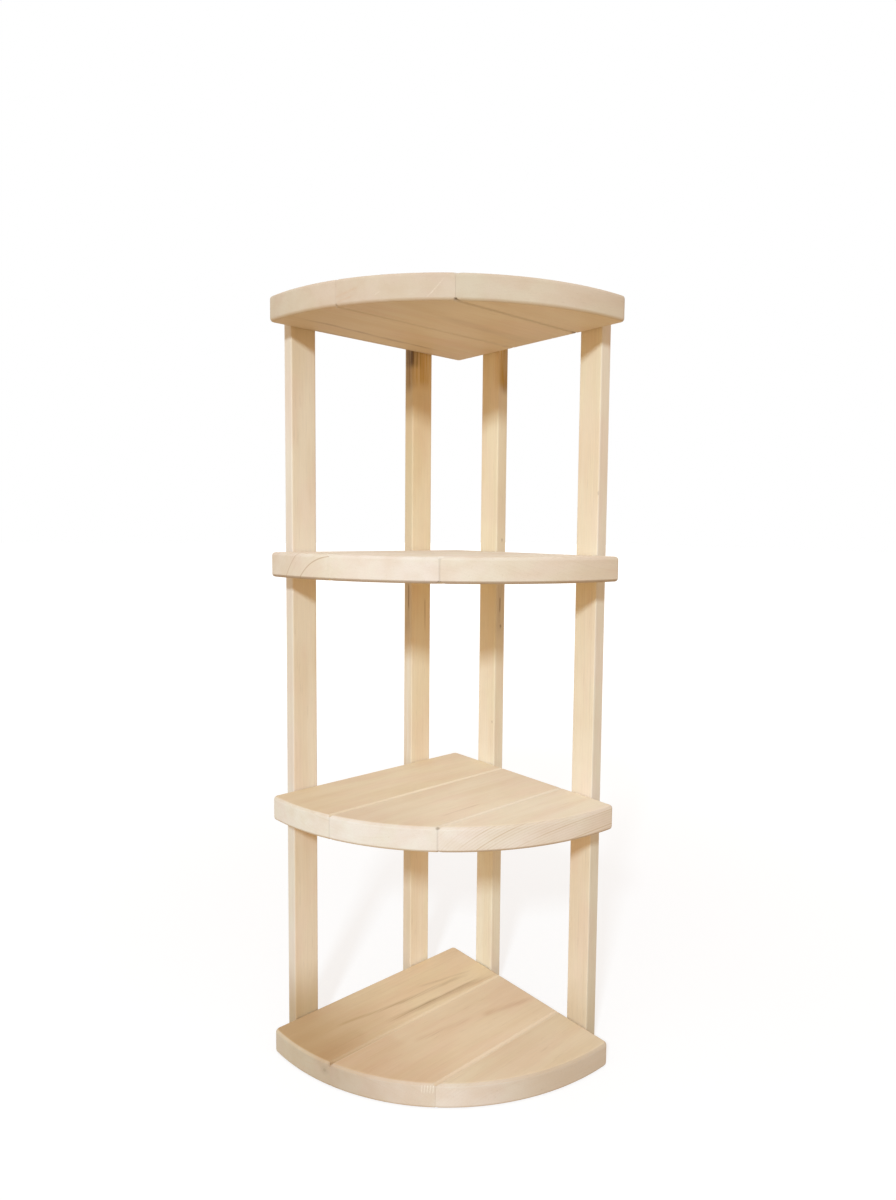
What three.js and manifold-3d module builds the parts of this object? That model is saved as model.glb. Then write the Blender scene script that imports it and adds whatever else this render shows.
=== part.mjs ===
import * as THREE from "three";
import { mergeVertices } from "three/addons/utils/BufferGeometryUtils.js";
import Module from "manifold-3d";

// A corner shelf unit of pale solid wood, in millimetres, +Z up.
// It stands where a left wall, which runs along Y, meets a rear wall, which runs along X.
// Each quarter-round shelf is three boards, dowelled edge to edge. Two posts on each wall
// side carry the shelves, with one countersunk screw from the wall side at every crossing.
// Places in plan count from the square corner of the shelves: +X along the rear wall,
// -Y along the left wall.

// Shelves, from the floor up
const shelfNames = ["bottom", "lower", "upper", "top"];
const shelfRadius = 300;
const shelfThickness = 30;
const shelfPitch = 304;

// Boards of one shelf: the wall board lies along the left wall, the outer board takes what is left.
// The top shelf has a wider wall board than the others.
const wallBoardWidth = 104;
const topWallBoardWidth = 114;
const middleBoardWidth = 111;

// Eased edges: the shelf's outline is rounded over, top and bottom, and its boards meet in V-grooves,
// because their joint edges are chamfered
const shelfEase = 4;
const jointChamfer = 2.5;
const tipSoftening = 2;

// Posts: the rear ones are set in from the square corner, the front ones back from the shelf's reach
const postWidth = 34;
const postDepth = 18;
const postEase = 2;
const postEndEase = 1;
const rearPostInset = 50;
const leftFrontPostSetback = 30;
const rightFrontPostSetback = 36;

// Countersunk wood screws
const screwLength = 50;
const screwHeadRadius = 4.5;
const screwHeadRim = 0.5;
const screwNeckRadius = 1.7;
const screwNeckLength = 16;
const screwThreadRadius = 2.25;
const screwPointLength = 6;
const screwSink = 0.6;

// Dowels in the joints between boards
const dowelRadius = 4;
const dowelLength = 40;
const dowelChamfer = 1;
const dowelInset = 45;

// Clearances and cutting
const boreClearance = 0.3;
const boreEndClearance = 0.6;
const cutOverrun = 2;

// Facets
const rimFacets = 36;
const tipFacets = 4;
const easeFacets = 3;
const postEaseFacets = 2;
const roundFacets = 12;

// Sizes that follow from the ones above
const unitHeight = (shelfNames.length - 1) * shelfPitch + shelfThickness;
const tipRound = shelfEase + tipSoftening;
const tipReach = shelfRadius - tipRound;
const tipTurn = Math.asin(tipRound / tipReach);
const tipCentre = tipReach * Math.cos(tipTurn);
const shelfReach = tipCentre + tipRound;
const leftFrontPostInset = shelfRadius - leftFrontPostSetback - postWidth;
const rightFrontPostInset = shelfRadius - rightFrontPostSetback - postWidth;
const quarterTurn = Math.PI / 2;
const halfTurn = Math.PI;

// The places along X where a shelf's wall board and its middle board end.
function shelfJoints(shelf) {
  const wallEnd = shelf === "top" ? topWallBoardWidth : wallBoardWidth;
  return [wallEnd, wallEnd + middleBoardWidth];
}

function shelfBoards(shelf) {
  const [wallEnd, middleEnd] = shelfJoints(shelf);
  return [
    { name: "wall", from: 0, to: wallEnd, colour: "#e2c9a1" },
    { name: "middle", from: wallEnd, to: middleEnd, colour: "#e8d2ad" },
    { name: "outer", from: middleEnd, to: shelfRadius, colour: "#ead6b4" },
  ];
}

const posts = [
  { name: "left_front", onLeftWall: true, inset: leftFrontPostInset, colour: "#ead8b6" },
  { name: "left_rear", onLeftWall: true, inset: rearPostInset, colour: "#e6d0a6" },
  { name: "right_rear", onLeftWall: false, inset: rearPostInset, colour: "#ecd9b6" },
  { name: "right_front", onLeftWall: false, inset: rightFrontPostInset, colour: "#eddcbb" },
];

// Joining and cutting of closed meshes
const wasm = await Module();
wasm.setup();

function solidOf(geometry) {
  const bare = geometry.clone();
  bare.deleteAttribute("normal");
  bare.deleteAttribute("uv");
  const merged = mergeVertices(bare);
  return new wasm.Manifold(
    new wasm.Mesh({
      numProp: 3,
      vertProperties: merged.attributes.position.array,
      triVerts: new Uint32Array(merged.index.array),
    }),
  );
}

function geometryOf(solid) {
  const mesh = solid.getMesh();
  const geometry = new THREE.BufferGeometry();
  geometry.setAttribute("position", new THREE.BufferAttribute(mesh.vertProperties, mesh.numProp));
  geometry.setIndex(new THREE.BufferAttribute(mesh.triVerts, 1));
  geometry.computeVertexNormals();
  return geometry;
}

function cutFrom(solid, cutters) {
  let cut = solid;
  for (const cutter of cutters) {
    cut = cut.subtract(solidOf(cutter));
  }
  return geometryOf(cut);
}

// Materials
function woodMaterial(colour) {
  return new THREE.MeshStandardMaterial({ color: colour, roughness: 0.6, metalness: 0 });
}

function screwMaterial() {
  return new THREE.MeshStandardMaterial({ color: "#c9c6bc", roughness: 0.35, metalness: 1 });
}

// Outlines in plan
function arcPoints(centreX, centreY, radius, fromAngle, toAngle, facets) {
  const arc = new THREE.EllipseCurve(centreX, centreY, radius, radius, fromAngle, toAngle, false);
  return arc.getPoints(facets);
}

function rimDepthAt(x) {
  return Math.sqrt(shelfRadius ** 2 - x ** 2);
}

// A whole shelf in plan: a quarter circle with a rounded square corner and two rounded tips.
function shelfOutline() {
  const corner = arcPoints(tipRound, -tipRound, tipRound, quarterTurn, halfTurn, tipFacets);
  const leftTipEnd = halfTurn + quarterTurn + tipTurn;
  const leftTip = arcPoints(tipRound, -tipCentre, tipRound, halfTurn, leftTipEnd, tipFacets);
  const rim = arcPoints(0, 0, shelfRadius, tipTurn - quarterTurn, -tipTurn, rimFacets);
  const rightTip = arcPoints(tipCentre, -tipRound, tipRound, -tipTurn, quarterTurn, tipFacets);
  return [...corner, ...leftTip, ...rim.slice(1), ...rightTip.slice(1)];
}

// A slab of the given height whose edges, top and bottom, are eased inwards from the outline.
function easedSlab(outline, height, ease, facets) {
  const slab = new THREE.ExtrudeGeometry(new THREE.Shape(outline), {
    depth: height - 2 * ease,
    bevelThickness: ease,
    bevelSize: ease,
    bevelOffset: -ease,
    bevelSegments: facets,
    steps: 1,
  });
  return slab.translate(0, 0, ease);
}

// A board's strip of the shelf, seen from the front with X across and Z up. Each side is given from
// its lower end to its upper end. A joint side is chamfered towards the inside of the board.
function jointSide(x, inward) {
  const spread = inward * (jointChamfer + cutOverrun);
  return [
    new THREE.Vector2(x + spread, -cutOverrun),
    new THREE.Vector2(x, jointChamfer),
    new THREE.Vector2(x, shelfThickness - jointChamfer),
    new THREE.Vector2(x + spread, shelfThickness + cutOverrun),
  ];
}

// A free side runs straight up, clear of the shelf.
function freeSide(x) {
  return [new THREE.Vector2(x, -cutOverrun), new THREE.Vector2(x, shelfThickness + cutOverrun)];
}

function stripGeometry(board) {
  const left = board.name === "wall" ? freeSide(-cutOverrun) : jointSide(board.from, 1);
  const right = board.name === "outer" ? freeSide(shelfRadius + cutOverrun) : jointSide(board.to, -1);
  const section = new THREE.Shape([...right, ...left.reverse()]);
  const depth = shelfRadius + 2 * cutOverrun;
  return new THREE.ExtrudeGeometry(section, { depth, bevelEnabled: false, steps: 1 })
    .rotateX(quarterTurn)
    .translate(0, cutOverrun, 0);
}

// Screws: the head is at Y zero and the point faces -Y
function screwGeometry() {
  const coneEnd = screwHeadRim + screwHeadRadius - screwNeckRadius;
  const profile = [
    new THREE.Vector2(0, -screwLength),
    new THREE.Vector2(screwThreadRadius, -screwLength + screwPointLength),
    new THREE.Vector2(screwThreadRadius, -screwNeckLength),
    new THREE.Vector2(screwNeckRadius, -screwNeckLength),
    new THREE.Vector2(screwNeckRadius, -coneEnd),
    new THREE.Vector2(screwHeadRadius, -screwHeadRim),
    new THREE.Vector2(screwHeadRadius, 0),
    new THREE.Vector2(0, 0),
  ];
  return new THREE.LatheGeometry(profile, roundFacets);
}

// The countersunk bore that one screw needs through its post and into the shelf.
function screwBoreGeometry() {
  const headBore = screwHeadRadius + boreClearance;
  const threadBore = screwThreadRadius + boreClearance;
  const boreEnd = screwLength + boreEndClearance;
  const profile = [
    new THREE.Vector2(0, -boreEnd),
    new THREE.Vector2(threadBore, -boreEnd),
    new THREE.Vector2(threadBore, -screwHeadRim - headBore + threadBore),
    new THREE.Vector2(headBore, -screwHeadRim),
    new THREE.Vector2(headBore, screwSink + cutOverrun),
    new THREE.Vector2(0, screwSink + cutOverrun),
  ];
  return new THREE.LatheGeometry(profile, roundFacets);
}

// Every screw lies at the middle of its post's width and of its shelf's thickness.
function screwPlaces() {
  const headOffset = postDepth - screwSink;
  return posts.flatMap((post) =>
    shelfNames.map((shelf, level) => {
      const along = post.inset + postWidth / 2;
      const height = level * shelfPitch + shelfThickness / 2;
      const position = post.onLeftWall
        ? new THREE.Vector3(-headOffset, -along, height)
        : new THREE.Vector3(along, headOffset, height);
      return { post: post.name, shelf, position, turn: post.onLeftWall ? quarterTurn : 0 };
    }),
  );
}

function screwBoreAt(place) {
  return screwBoreGeometry()
    .rotateZ(place.turn)
    .translate(place.position.x, place.position.y, place.position.z);
}

// Dowels lie along X, half in each of the two boards that they join
function dowelGeometry() {
  const end = dowelLength / 2;
  const profile = [
    new THREE.Vector2(0, -end),
    new THREE.Vector2(dowelRadius - dowelChamfer, -end),
    new THREE.Vector2(dowelRadius, -end + dowelChamfer),
    new THREE.Vector2(dowelRadius, end - dowelChamfer),
    new THREE.Vector2(dowelRadius - dowelChamfer, end),
    new THREE.Vector2(0, end),
  ];
  return new THREE.LatheGeometry(profile, roundFacets).rotateZ(quarterTurn);
}

function dowelBoreAt(position) {
  const radius = dowelRadius + boreClearance;
  const length = dowelLength + 2 * boreEndClearance;
  return new THREE.CylinderGeometry(radius, radius, length, roundFacets)
    .rotateZ(quarterTurn)
    .translate(position.x, position.y, position.z);
}

// Two dowels to a joint, each the same distance in from one end of it.
function dowelPlaces(shelf) {
  const [wallEnd, middleEnd] = shelfJoints(shelf);
  const joints = [
    { name: "wall", x: wallEnd },
    { name: "outer", x: middleEnd },
  ];
  return joints.flatMap((joint) => [
    { name: `${joint.name}_rear`, position: new THREE.Vector3(joint.x, -dowelInset, shelfThickness / 2) },
    {
      name: `${joint.name}_front`,
      position: new THREE.Vector3(joint.x, dowelInset - rimDepthAt(joint.x), shelfThickness / 2),
    },
  ]);
}

// Sub-parts
function boardMesh(shelf, board, level) {
  const height = level * shelfPitch;
  const screwBores = screwPlaces()
    .filter((place) => place.shelf === shelf)
    .map((place) => screwBoreAt(place).translate(0, 0, -height));
  const dowelBores = dowelPlaces(shelf).map((place) => dowelBoreAt(place.position));
  const slab = easedSlab(shelfOutline(), shelfThickness, shelfEase, easeFacets);
  const blank = solidOf(slab).intersect(solidOf(stripGeometry(board)));
  const mesh = new THREE.Mesh(cutFrom(blank, [...screwBores, ...dowelBores]), woodMaterial(board.colour));
  mesh.name = `${shelf}_shelf_${board.name}_board`;
  return mesh;
}

function dowelMesh(shelf, place) {
  const mesh = new THREE.Mesh(dowelGeometry(), woodMaterial("#d9b88a"));
  mesh.name = `${shelf}_shelf_dowel_${place.name}`;
  mesh.position.copy(place.position);
  return mesh;
}

function shelfGroup(shelf, level) {
  const group = new THREE.Group();
  group.position.z = level * shelfPitch;
  shelfBoards(shelf).forEach((board) => group.add(boardMesh(shelf, board, level)));
  dowelPlaces(shelf).forEach((place) => group.add(dowelMesh(shelf, place)));
  return group;
}

// A post's section: a rectangle with rounded corners that backs against the shelves' straight edge.
function postOutline(post) {
  const [left, right] = post.onLeftWall ? [-postDepth, 0] : [post.inset, post.inset + postWidth];
  const [front, rear] = post.onLeftWall ? [-post.inset - postWidth, -post.inset] : [0, postDepth];
  const corners = [
    [right - postEase, rear - postEase],
    [left + postEase, rear - postEase],
    [left + postEase, front + postEase],
    [right - postEase, front + postEase],
  ];
  return corners.flatMap(([x, y], turn) =>
    arcPoints(x, y, postEase, turn * quarterTurn, (turn + 1) * quarterTurn, postEaseFacets),
  );
}

function postMesh(post) {
  const stick = easedSlab(postOutline(post), unitHeight, postEndEase, 1);
  const bores = screwPlaces()
    .filter((place) => place.post === post.name)
    .map(screwBoreAt);
  const mesh = new THREE.Mesh(cutFrom(solidOf(stick), bores), woodMaterial(post.colour));
  mesh.name = `${post.name}_post`;
  return mesh;
}

function screwMesh(place) {
  const mesh = new THREE.Mesh(screwGeometry(), screwMaterial());
  mesh.name = `screw_${place.post}_${place.shelf}`;
  mesh.position.copy(place.position);
  mesh.rotation.z = place.turn;
  return mesh;
}

// The unit, with its origin on the floor under the middle of its box
const unit = new THREE.Group();
unit.name = "corner_shelf_unit";
unit.position.set((postDepth - shelfReach) / 2, (shelfReach - postDepth) / 2, 0);
shelfNames.forEach((shelf, level) => unit.add(shelfGroup(shelf, level)));
posts.forEach((post) => unit.add(postMesh(post)));
screwPlaces().forEach((place) => unit.add(screwMesh(place)));

export default unit;
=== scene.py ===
import math

import bmesh
import bpy
from mathutils import Matrix, Vector


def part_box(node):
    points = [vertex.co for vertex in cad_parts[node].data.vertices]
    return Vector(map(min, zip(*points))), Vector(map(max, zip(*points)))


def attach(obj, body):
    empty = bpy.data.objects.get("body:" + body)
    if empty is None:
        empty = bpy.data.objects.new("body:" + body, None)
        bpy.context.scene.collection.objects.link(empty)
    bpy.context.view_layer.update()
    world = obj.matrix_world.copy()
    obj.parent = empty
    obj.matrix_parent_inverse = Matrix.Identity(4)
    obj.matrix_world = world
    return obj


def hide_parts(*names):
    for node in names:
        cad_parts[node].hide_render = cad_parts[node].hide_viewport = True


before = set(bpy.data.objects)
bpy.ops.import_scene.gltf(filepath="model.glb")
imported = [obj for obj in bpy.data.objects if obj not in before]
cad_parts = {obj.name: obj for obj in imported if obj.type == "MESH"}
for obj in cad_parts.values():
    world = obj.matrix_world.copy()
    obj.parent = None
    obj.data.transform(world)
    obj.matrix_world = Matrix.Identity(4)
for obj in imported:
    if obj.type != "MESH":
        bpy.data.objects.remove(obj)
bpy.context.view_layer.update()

# The unit's pieces, as the frame names them
SHELVES = ["bottom", "lower", "upper", "top"]
BOARDS = ["wall", "middle", "outer"]
POSTS = ["left_front", "left_rear", "right_rear", "right_front"]
DOWELS = ["wall_rear", "wall_front", "outer_rear", "outer_front"]

# Sizes of the joinery, in metres
SHELF_RADIUS = 0.300
TIP_ROUND = 0.006
SHELF_EASE = 0.004
JOINT_CHAMFER = 0.0025
JOINT_GAP = 0.0002
POST_EASE = 0.002
POST_END_EASE = 0.001
BORE_CLEARANCE = 0.0003
BORE_END_CLEARANCE = 0.0006
CUT_OVERRUN = 0.002
MERGE_DISTANCE = 0.000002

# Countersunk screws, in metres
SCREW_LENGTH = 0.050
SCREW_SINK = 0.0006
HEAD_RADIUS = 0.0045
HEAD_RIM = 0.0005
HEAD_SOFTENING = 0.0002
NECK_RADIUS = 0.0017
NECK_LENGTH = 0.016
THREAD_RADIUS = 0.00225
THREAD_PITCH = 0.002
CORE_RADIUS = 0.00145
TOOTH_WIDTH = 0.001
TOOTH_ROOTING = 0.0002
POINT_LENGTH = 0.006
TIP_LENGTH = 0.0008
RECESS_WIDTH = 0.0011
RECESS_SPAN = 0.0048
RECESS_DEPTH = 0.0021
RECESS_TAPER = (1.0, 0.35, 0.8)

# Fluted dowels, in metres
DOWEL_FLUTES = 12
SIDES_PER_FLUTE = 3
FLUTE_DEPTH = 0.00025
DOWEL_CHAMFER = 0.001

# Steps of the arcs, and how far two faces may turn and still shade as one
RIM_STEPS = 120
TIP_STEPS = 8
EASE_STEPS = 6
POST_END_STEPS = 3
TURN_STEPS = 32
THREAD_STEPS = 16
SMOOTH_ANGLE = math.radians(35)

QUARTER = math.pi / 2
ORIGIN = (0, 0, 0)
UP = Vector((0, 0, 1))
ALONG_REAR_WALL = Vector((1, 0, 0))

wall_low, wall_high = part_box("bottom_shelf_wall_board")
CORNER = Vector((wall_low.x, wall_high.y, 0))


# Meshes

def to_mesh(name, bm):
    """Makes a mesh of a bmesh and frees the bmesh."""
    mesh = bpy.data.meshes.new(name)
    bm.to_mesh(mesh)
    bm.free()
    return mesh


def new_object(name, data):
    """Puts a new object into the scene."""
    made = bpy.data.objects.new(name, data)
    bpy.context.scene.collection.objects.link(made)
    return made


def add_piece(name, bm, material, node):
    """Makes a finished piece, which rides on the unit and stands for a node of the frame."""
    bmesh.ops.recalc_face_normals(bm, faces=bm.faces[:])
    piece = new_object(name, to_mesh(name, bm))
    piece.data.materials.append(material)
    smooth_faces(piece)
    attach(piece, "root")
    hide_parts(node)


def smooth_faces(piece):
    """Lets eased edges and arcs shade as rounds, while flat faces stay flat."""
    for face in piece.data.polygons:
        face.use_smooth = True
    piece.data.set_sharp_from_angle(angle=SMOOTH_ANGLE)
    weighted = piece.modifiers.new("Weighted normals", "WEIGHTED_NORMAL")
    weighted.keep_sharp = True


def combine(bm, shapes, operation):
    """Cuts shapes, which stay clear of each other, out of a body, or joins them to it."""
    together = bmesh.new()
    for shape in shapes:
        loose = to_mesh("loose", shape)
        together.from_mesh(loose)
        bpy.data.meshes.remove(loose)
    body, tool = [new_object("shape", to_mesh("shape", source)) for source in (bm, together)]
    modifier = body.modifiers.new("Combine", "BOOLEAN")
    modifier.object = tool
    modifier.operation = operation
    modifier.solver = "EXACT"
    bpy.context.view_layer.update()
    combined = bmesh.new()
    combined.from_object(body, bpy.context.evaluated_depsgraph_get())
    bmesh.ops.remove_doubles(combined, verts=combined.verts[:], dist=MERGE_DISTANCE)
    bpy.data.objects.remove(body)
    bpy.data.objects.remove(tool)
    return combined


def carry_point(bm, point, centre, angle, steps):
    """Carries an outline's end round a centre, which leaves an arc of edges behind it."""
    arc = bmesh.ops.spin(bm, geom=[point], cent=centre, axis=UP, angle=angle, steps=steps)
    return [part for part in arc["geom_last"] if isinstance(part, bmesh.types.BMVert)][0]


def draw_point(bm, point, target):
    """Draws a straight edge from an outline's end to the target."""
    drawn = bmesh.ops.extrude_vert_indiv(bm, verts=[point])["verts"][0]
    drawn.co = target
    return drawn


def trace_shelf(bm):
    """Traces a whole shelf in plan: a quarter circle with a rounded corner and two rounded tips."""
    tip_reach = SHELF_RADIUS - TIP_ROUND
    tip_turn = math.asin(TIP_ROUND / tip_reach)
    tip_centre = tip_reach * math.cos(tip_turn)
    inset = Vector((TIP_ROUND, -TIP_ROUND, 0))
    left_tip = CORNER + Vector((TIP_ROUND, -tip_centre, 0))
    right_tip = CORNER + Vector((tip_centre, -TIP_ROUND, 0))
    start = bm.verts.new(CORNER + Vector((TIP_ROUND, 0, 0)))
    end = carry_point(bm, start, CORNER + inset, QUARTER, TIP_STEPS)
    end = draw_point(bm, end, CORNER + Vector((0, -tip_centre, 0)))
    end = carry_point(bm, end, left_tip, QUARTER + tip_turn, TIP_STEPS)
    end = carry_point(bm, end, CORNER, QUARTER - 2 * tip_turn, RIM_STEPS)
    end = carry_point(bm, end, right_tip, QUARTER + tip_turn, TIP_STEPS)
    bm.edges.new((end, start))
    bmesh.ops.edgeloop_fill(bm, edges=bm.edges[:])


def plane_off(bm, point, outwards):
    """Takes off what lies outside a plane and closes the cut."""
    cut = bmesh.ops.bisect_plane(
        bm, geom=bm.verts[:] + bm.edges[:] + bm.faces[:], plane_co=point, plane_no=outwards, clear_outer=True)
    rim = [part for part in cut["geom_cut"] if isinstance(part, bmesh.types.BMEdge)]
    bmesh.ops.edgeloop_fill(bm, edges=rim)


def joint_side(bm, x, outwards, low, high):
    """Saws the slab upright along a joint and chamfers the new face's long edges."""
    plane_off(bm, Vector((x, 0, 0)), outwards)
    plane_off(bm, Vector((x, 0, high - JOINT_CHAMFER)), outwards + UP)
    plane_off(bm, Vector((x, 0, low + JOINT_CHAMFER)), outwards - UP)


def is_level(edge):
    return abs(edge.verts[0].co.z - edge.verts[1].co.z) < MERGE_DISTANCE


def ease_edges(bm, offset, steps, level=True):
    """Bevels the level edges, or all the others."""
    edges = [edge for edge in bm.edges if is_level(edge) == level]
    bmesh.ops.bevel(
        bm, geom=edges, offset=offset, segments=steps, profile=0.5, affect="EDGES", material=-1,
        clamp_overlap=False)


def thicken(bm, height):
    """Raises the flat outline to a slab."""
    raised = bmesh.ops.extrude_face_region(bm, geom=bm.faces[:])
    top = [part for part in raised["geom"] if isinstance(part, bmesh.types.BMVert)]
    bmesh.ops.translate(bm, verts=top, vec=UP * height)
    bmesh.ops.recalc_face_normals(bm, faces=bm.faces[:])


def board_bmesh(node):
    """A board: its part of the shelf's eased slab, with chamfered joint sides."""
    low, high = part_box(node)
    bm = bmesh.new()
    trace_shelf(bm)
    bmesh.ops.translate(bm, verts=bm.verts[:], vec=UP * low.z)
    thicken(bm, high.z - low.z)
    ease_edges(bm, SHELF_EASE, EASE_STEPS)
    if low.x > CORNER.x + TIP_ROUND:
        joint_side(bm, low.x + JOINT_GAP / 2, -ALONG_REAR_WALL, low.z, high.z)
    if high.x < CORNER.x + SHELF_RADIUS - TIP_ROUND:
        joint_side(bm, high.x - JOINT_GAP / 2, ALONG_REAR_WALL, low.z, high.z)
    return bm


def post_bmesh(node):
    """A post: a batten with rounded long edges and softened ends."""
    low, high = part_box(node)
    bm = bmesh.new()
    bmesh.ops.create_cube(bm, size=1)
    bmesh.ops.scale(bm, verts=bm.verts[:], vec=high - low)
    bmesh.ops.translate(bm, verts=bm.verts[:], vec=(low + high) / 2)
    ease_edges(bm, POST_EASE, EASE_STEPS, level=False)
    ease_edges(bm, POST_END_EASE, POST_END_STEPS)
    return bm


def turned_bmesh(profile):
    """Turns a closed outline of (radius, place along the axis) pairs about the X axis."""
    bm = bmesh.new()
    points = [bm.verts.new((along, 0, radius)) for radius, along in profile]
    edges = [bm.edges.new(pair) for pair in zip(points, points[1:])]
    bmesh.ops.spin(
        bm, geom=points + edges, cent=ORIGIN, axis=(1, 0, 0), angle=math.tau, steps=TURN_STEPS,
        use_merge=True)
    bmesh.ops.remove_doubles(bm, verts=bm.verts[:], dist=MERGE_DISTANCE)
    bmesh.ops.recalc_face_normals(bm, faces=bm.faces[:])
    return bm


def lay_on_screw(bm, node):
    """Lays a shape turned about X, with its head at zero, on a screw of the frame."""
    low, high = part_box(node)
    middle = (low + high) / 2
    if high.x - low.x > high.y - low.y:
        place = Matrix.Translation((low.x, middle.y, middle.z))
    else:
        place = Matrix.Translation((middle.x, high.y, middle.z)) @ Matrix.Rotation(-QUARTER, 4, "Z")
    bmesh.ops.transform(bm, verts=bm.verts[:], matrix=place)


def screw_bore_bmesh(node):
    head_bore = HEAD_RADIUS + BORE_CLEARANCE
    thread_bore = THREAD_RADIUS + BORE_CLEARANCE
    bm = turned_bmesh([
        (0, -SCREW_SINK - CUT_OVERRUN),
        (head_bore, -SCREW_SINK - CUT_OVERRUN),
        (head_bore, HEAD_RIM),
        (thread_bore, HEAD_RIM + head_bore - thread_bore),
        (thread_bore, SCREW_LENGTH + BORE_END_CLEARANCE),
        (0, SCREW_LENGTH + BORE_END_CLEARANCE),
    ])
    lay_on_screw(bm, node)
    return bm


def dowel_bore_bmesh(node):
    """The bore of a dowel, half in each of the two boards that it joins."""
    low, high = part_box(node)
    radius = (high.z - low.z) / 2 + BORE_CLEARANCE
    reach = (high.x - low.x) / 2 + BORE_END_CLEARANCE
    bm = turned_bmesh([(0, -reach), (radius, -reach), (radius, reach), (0, reach)])
    bmesh.ops.translate(bm, verts=bm.verts[:], vec=(low + high) / 2)
    return bm


def screw_blank_bmesh():
    """The screw's head, neck, core and point."""
    cone_end = HEAD_RIM + HEAD_RADIUS - NECK_RADIUS
    return turned_bmesh([
        (0, 0),
        (HEAD_RADIUS - HEAD_SOFTENING, 0),
        (HEAD_RADIUS, HEAD_SOFTENING),
        (HEAD_RADIUS, HEAD_RIM),
        (NECK_RADIUS, cone_end),
        (NECK_RADIUS, NECK_LENGTH),
        (CORE_RADIUS, NECK_LENGTH),
        (CORE_RADIUS, SCREW_LENGTH - POINT_LENGTH),
        (0, SCREW_LENGTH),
    ])


def thread_bmesh():
    """The screw's thread: a small tooth led round a helix, which dwindles along the point."""
    bm = bmesh.new()
    first = NECK_LENGTH + THREAD_PITCH / 2
    root = CORE_RADIUS - TOOTH_ROOTING
    turns = int((SCREW_LENGTH - TIP_LENGTH - first) / THREAD_PITCH)
    outline = [(first - TOOTH_WIDTH / 2, root), (first, THREAD_RADIUS), (first + TOOTH_WIDTH / 2, root)]
    tooth = bm.faces.new([bm.verts.new((along, 0, radius)) for along, radius in outline])
    between_sides = Matrix.Rotation(math.pi / TURN_STEPS, 3, "X")
    bmesh.ops.rotate(bm, verts=bm.verts[:], cent=ORIGIN, matrix=between_sides)
    bmesh.ops.spin(
        bm, geom=[tooth], cent=ORIGIN, axis=(1, 0, 0), dvec=(THREAD_PITCH / THREAD_STEPS, 0, 0),
        angle=turns * math.tau, steps=turns * THREAD_STEPS)
    for vert in bm.verts:
        dwindled = min(1.0, (SCREW_LENGTH - vert.co.x) / POINT_LENGTH)
        vert.co.y *= dwindled
        vert.co.z *= dwindled
    bmesh.ops.recalc_face_normals(bm, faces=bm.faces[:])
    return bm


def recess_arm_bmesh(turn):
    """One of the two tapered slots of the cross recess in a screw's head."""
    bm = bmesh.new()
    bmesh.ops.create_cube(bm, size=1)
    bmesh.ops.scale(bm, verts=bm.verts[:], vec=(2 * RECESS_DEPTH, RECESS_SPAN, RECESS_WIDTH))
    deep = [vert for vert in bm.verts if vert.co.x > 0]
    bmesh.ops.scale(bm, verts=deep, vec=RECESS_TAPER)
    bmesh.ops.rotate(bm, verts=bm.verts[:], cent=ORIGIN, matrix=Matrix.Rotation(turn, 3, "X"))
    return bm


def screw_bmesh():
    """A finished screw along X with its head at zero."""
    bm = combine(screw_blank_bmesh(), [thread_bmesh()], "UNION")
    for turn in (0, QUARTER):
        bm = combine(bm, [recess_arm_bmesh(turn)], "DIFFERENCE")
    return bm


def dowel_bmesh(node):
    """A fluted dowel along X with chamfered ends."""
    low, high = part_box(node)
    length = high.x - low.x
    radius = (high.z - low.z) / 2
    bm = bmesh.new()
    sides = SIDES_PER_FLUTE * DOWEL_FLUTES
    outline = bmesh.ops.create_circle(bm, cap_ends=True, segments=sides, radius=radius)["verts"]
    for flute in outline[::SIDES_PER_FLUTE]:
        flute.co *= 1 - FLUTE_DEPTH / radius
    thicken(bm, length)
    ease_edges(bm, DOWEL_CHAMFER, 1)
    bmesh.ops.translate(bm, verts=bm.verts[:], vec=(0, 0, -length / 2))
    place = Matrix.Translation((low + high) / 2) @ Matrix.Rotation(QUARTER, 4, "Y")
    bmesh.ops.transform(bm, verts=bm.verts[:], matrix=place)
    return bm


# Shader nodes

WHITE = (1.0, 1.0, 1.0, 1.0)


def feed(tree, sockets, values):
    """Gives sockets their values, each a plain value or an output to link."""
    for socket, value in values.items():
        if isinstance(value, bpy.types.NodeSocket):
            tree.links.new(value, sockets[socket])
        else:
            sockets[socket].default_value = value


def add_node(tree, kind, inputs=None, **settings):
    """Adds a node, sets its properties and feeds its inputs."""
    made = tree.nodes.new("ShaderNode" + kind)
    for name, value in settings.items():
        setattr(made, name, value)
    feed(tree, made.inputs, inputs or {})
    return made


def calc(tree, operation, *values):
    return add_node(tree, "Math", dict(enumerate(values)), operation=operation).outputs[0]


def product(tree, first, *others):
    for other in others:
        first = calc(tree, "MULTIPLY", first, other)
    return first


def vector_calc(tree, operation, *values):
    made = add_node(tree, "VectorMath", dict(enumerate(values)), operation=operation)
    return made.outputs["Value" if operation in {"LENGTH", "DOT_PRODUCT"} else "Vector"]


def scaled(tree, vector, factor):
    return add_node(tree, "VectorMath", {0: vector, "Scale": factor}, operation="SCALE").outputs[0]


def axes(tree, vector):
    return add_node(tree, "SeparateXYZ", {0: vector}).outputs


def ramp(tree, value, start, end, low=0.0, high=1.0):
    """A smooth step from low to high while the value goes from start to end."""
    sockets = {"Value": value, "From Min": start, "From Max": end, "To Min": low, "To Max": high}
    return add_node(tree, "MapRange", sockets, interpolation_type="SMOOTHSTEP").outputs["Result"]


def blend_colours(tree, factor, first, second, mode="MIX"):
    sockets = {0: factor, 6: first, 7: second}
    return add_node(tree, "Mix", sockets, data_type="RGBA", blend_type=mode, clamp_factor=True).outputs[2]


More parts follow.
